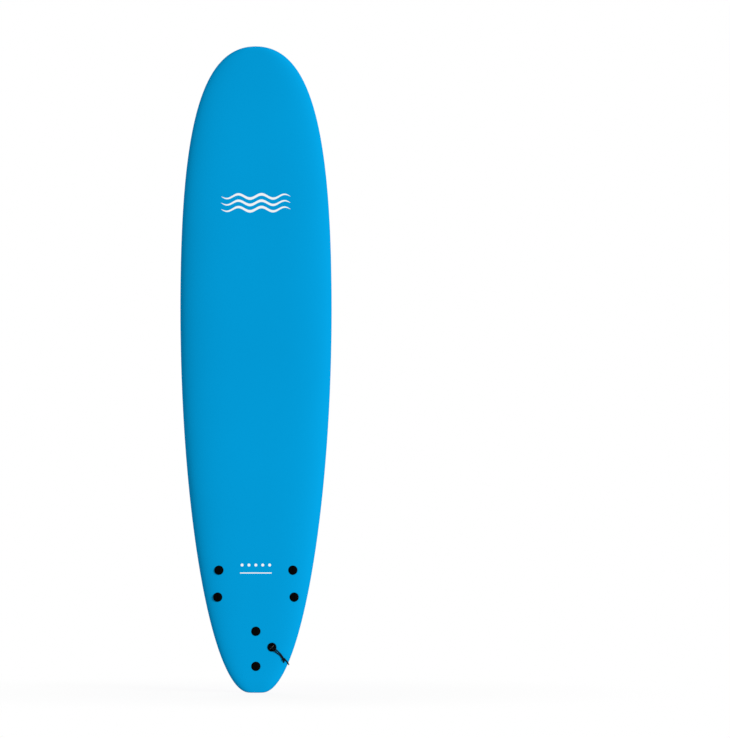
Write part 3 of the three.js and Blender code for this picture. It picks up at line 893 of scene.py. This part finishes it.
def black_moulded(name):
    s = Surface(name, 0.42, Specular_IOR_Level=0.06)
    tone = s.ramp(s.noise(0.004), [(0.3, (1, 1, 2)), (0.7, (3, 3, 4))])
    return s.finish(tone, s.noise(0.003) * 0.16 + 0.38, s.noise(0.0008), 0.00006)


def cord_black():
    sheen = {"Sheen_Weight": 0.04, "Sheen_Roughness": 0.4}
    s = Surface("braided_polyester", 0.8, Specular_IOR_Level=0.15, **sheen)
    tone = s.ramp(s.noise(0.0006), [(0.3, (3, 3, 7)), (0.7, (13, 13, 20))])
    return s.finish(tone, s.noise(0.001) * 0.2 + 0.7, s.noise(0.0003), 0.00008)


def bar_steel():
    s = Surface("stainless_steel", 0.28, Metallic=1.0)
    tone = s.ramp(s.noise(0.001, 2.0, (1, 1, 8)), [(0.3, (176, 178, 181)), (0.7, (205, 207, 210))])
    return s.finish(tone, s.noise(0.0008) * 0.2 + 0.2, s.noise(0.0006), 0.00003)


def bead_foam():
    """Expanded foam: white beads with slightly darker joints."""
    s = Surface("bead_foam_white", 0.9, Specular_IOR_Level=0.2)
    beads = s.cells(0.0042)
    tone = s.ramp(beads, [(0.1, (248, 248, 245)), (0.55, (240, 240, 236)), (0.8, (214, 214, 208))])
    return s.finish(tone, s.noise(0.004) * 0.1 + 0.82, beads * -1.0, 0.0005)


def closed_foam():
    s = Surface("thin_foam_grey", 0.9, Specular_IOR_Level=0.2)
    tone = s.ramp(s.noise(0.003), [(0.3, (214, 219, 222)), (0.7, (228, 232, 235))])
    return s.finish(tone, s.noise(0.003) * 0.1 + 0.82, s.noise(0.001), 0.0002)


def ply():
    """Plywood on edge: plies across the stringer, grain along it."""
    s = Surface("stringer_plywood", 0.65, Specular_IOR_Level=0.3)
    grain = s.noise(0.002, 4.0, (1, 1, 0.04))
    wood = s.ramp(grain, [(0.25, (150, 106, 62)), (0.5, (199, 154, 99)), (0.75, (220, 180, 126))])
    ply_thickness = 0.00167
    layer = (s.x.absolute() / ply_thickness).math("FRACT")
    glue = (((layer - 0.5).absolute() - 0.38) * 6.0).clamped()
    return s.finish(s.mix(glue, wood, (110, 74, 44)), grain * 0.2 + 0.55, grain, 0.0002)


def grey_plastic():
    s = Surface("sleeve_grey_plastic", 0.5, Specular_IOR_Level=0.4)
    tone = s.ramp(s.noise(0.004), [(0.3, (134, 137, 141)), (0.7, (149, 152, 156))])
    return s.finish(tone, s.noise(0.002) * 0.15 + 0.42, s.noise(0.001), 0.00008)


# ---------------------------------------------------------------- stage, light and camera

def make_camera():
    camera = bpy.data.cameras.new("camera")
    camera.lens = CAMERA_LENS
    camera.sensor_width = 36
    camera.clip_end = 100
    made = bpy.data.objects.new("camera", camera)
    made.location = (CAMERA_X, -CAMERA_DISTANCE, CAMERA_Z)
    made.rotation_euler = (math.pi / 2, 0, 0)
    bpy.context.scene.collection.objects.link(made)
    bpy.context.scene.camera = made


def make_floor():
    """A pale floor that fades into the white background far from the board."""
    sides = 96
    turns = [2 * math.pi * k / sides for k in range(sides)]
    ring = [Vector((FLOOR_R * math.cos(t), FLOOR_R * math.sin(t), 0)) for t in turns]
    floor = mesh_object("floor", ring, [list(range(sides))])
    material = bpy.data.materials.new("pale_floor")
    material.use_nodes = True
    tree = material.node_tree
    shader = next(n for n in tree.nodes if n.type == "BSDF_PRINCIPLED")
    output = next(n for n in tree.nodes if n.type == "OUTPUT_MATERIAL")
    shader.inputs["Base Color"].default_value = (FLOOR_TONE, FLOOR_TONE, FLOOR_TONE, 1)
    shader.inputs["Roughness"].default_value = 0.8
    shader.inputs["Specular IOR Level"].default_value = 0.1
    glow = tree.nodes.new("ShaderNodeEmission")
    tree.links.new(studio_light(tree).socket, glow.inputs["Strength"])
    mix = tree.nodes.new("ShaderNodeMixShader")
    where = tree.nodes.new("ShaderNodeTexCoord")
    length = tree.nodes.new("ShaderNodeVectorMath")
    length.operation = "LENGTH"
    tree.links.new(where.outputs["Object"], length.inputs[0])
    away = Field(tree, length.outputs["Value"]) - FLOOR_FADE_START
    faded = (away / (FLOOR_FADE_END - FLOOR_FADE_START)).smoothed()
    share = faded * (1 - FLOOR_GLOW) + FLOOR_GLOW
    tree.links.new(share.socket, mix.inputs[0])
    tree.links.new(shader.outputs[0], mix.inputs[1])
    tree.links.new(glow.outputs[0], mix.inputs[2])
    tree.links.new(mix.outputs[0], output.inputs[0])
    material.cycles.emission_sampling = "NONE"
    floor.data.materials.append(material)


def studio_light(tree):
    """White where the camera looks past the board, dim in reflections, and an even soft light elsewhere."""
    paths = tree.nodes.new("ShaderNodeLightPath")
    seen = Field(tree, paths.outputs["Is Camera Ray"])
    mirrored = Field(tree, paths.outputs["Is Glossy Ray"])
    return seen * (1 - AMBIENT) + mirrored * (REFLECTED - AMBIENT) + AMBIENT


def make_world():
    world = bpy.data.worlds.new("studio")
    world.use_nodes = True
    bpy.context.scene.world = world
    background = next(n for n in world.node_tree.nodes if n.type == "BACKGROUND")
    background.inputs["Color"].default_value = (1, 1, 1, 1)
    world.node_tree.links.new(studio_light(world.node_tree).socket, background.inputs["Strength"])


def make_light(name, azimuth, elevation, spread, strength):
    """A broad soft light at infinity. Azimuth 0 shines on the deck, 90 on the right rail and so on."""
    light = bpy.data.lights.new(name, "SUN")
    light.angle = math.radians(spread)
    light.energy = strength * math.pi
    made = bpy.data.objects.new(name, light)
    made.rotation_euler = (math.radians(90 - elevation), 0, math.radians(azimuth))
    bpy.context.scene.collection.objects.link(made)


# ---------------------------------------------------------------- the board

def bolt_holes(fins, with_recess):
    """Cutters for the holes that the bolts need, and for the recesses of their heads."""
    made = []
    for matrix, fin in fins.values():
        for z in bolt_stations(fin).values():
            depth = through_depth(matrix, z)
            made.append(rod("hole", SLEEVE_R + GAP, PAST, -depth - PAST, matrix, z))
            if with_recess:
                under = GAP + HEAD_SINK - depth
                made.append(rod("recess", HEAD_R + GAP, under, -depth - PAST, matrix, z, 96))
    return made


def deck_skin(fins, plug):
    skin = combine("DIFFERENCE", board_shape(0), board_shape(DECK_FOAM), bottom_space(0))
    pocket = rod("pocket", CUP_R + GAP, PAST, -CUP_DEPTH - GAP, plug, 0, 96)
    skin = combine("DIFFERENCE", skin, *bolt_holes(fins, True), pocket)
    finished(skin, "board", "deck_skin", deck_foam())


def slick_skin(fins):
    skin = combine("INTERSECT", board_shape(0), bottom_space(GAP))
    skin = combine("DIFFERENCE", skin, board_shape(SLICK), *bolt_holes(fins, False))
    finished(skin, "board", "slick_bottom_skin", bottom_print())


def fins_and_bolts(fins):
    gloss = black_gloss()
    plate_materials = {"left": gloss, "right": gloss, "centre": black_satin()}
    bolt_black = black_moulded("bolt_black_nylon")
    for side, (matrix, fin) in fins.items():
        fin_piece(side, matrix, fin, (gloss, plate_materials[side]))
        for end, z in bolt_stations(fin).items():
            depth = through_depth(matrix, z)
            bolt = bolt_piece(f"fin_bolt_{side}_{end}", depth, matrix, z, bolt_black)


def hidden_pieces():
    """The pieces inside the board keep their CAD shape and get their own materials."""
    materials = {
        "core_": bead_foam(),
        "stringer_": ply(),
        "fin_sleeve_": grey_plastic(),
        "bottom_foam_": closed_foam(),
    }
    for start, material in materials.items():
        for name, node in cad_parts.items():
            if name.startswith(start):
                node.data.materials.clear()
                node.data.materials.append(material)


make_camera()

plug = plug_frame()
string_black = cord_black()
knot = knot_piece(plug, string_black)
string_piece("leash_string_long", LONG_HALF, string_black)
string_piece("leash_string_short", SHORT_HALF, string_black)

fins = {
    "left": (fin_frame(-SIDE_FIN_X, SIDE_FIN, TOE_IN), SIDE_FIN),
    "right": (fin_frame(SIDE_FIN_X, SIDE_FIN, -TOE_IN), SIDE_FIN),
    "centre": (fin_frame(0, CENTRE_FIN, 0), CENTRE_FIN),
}
deck_skin(fins, plug)
slick_skin(fins)
fins_and_bolts(fins)
cup_piece(plug, black_moulded("plug_black_plastic"))
bar_piece(plug, bar_steel())
hidden_pieces()

make_floor()
make_world()
make_light("key", 45, 16, 25, 0.81)
make_light("back", 192, 14, 60, 0.69)
make_light("side", 250, 12, 60, 0.14)
bpy.context.scene.view_settings.view_transform = "Standard"
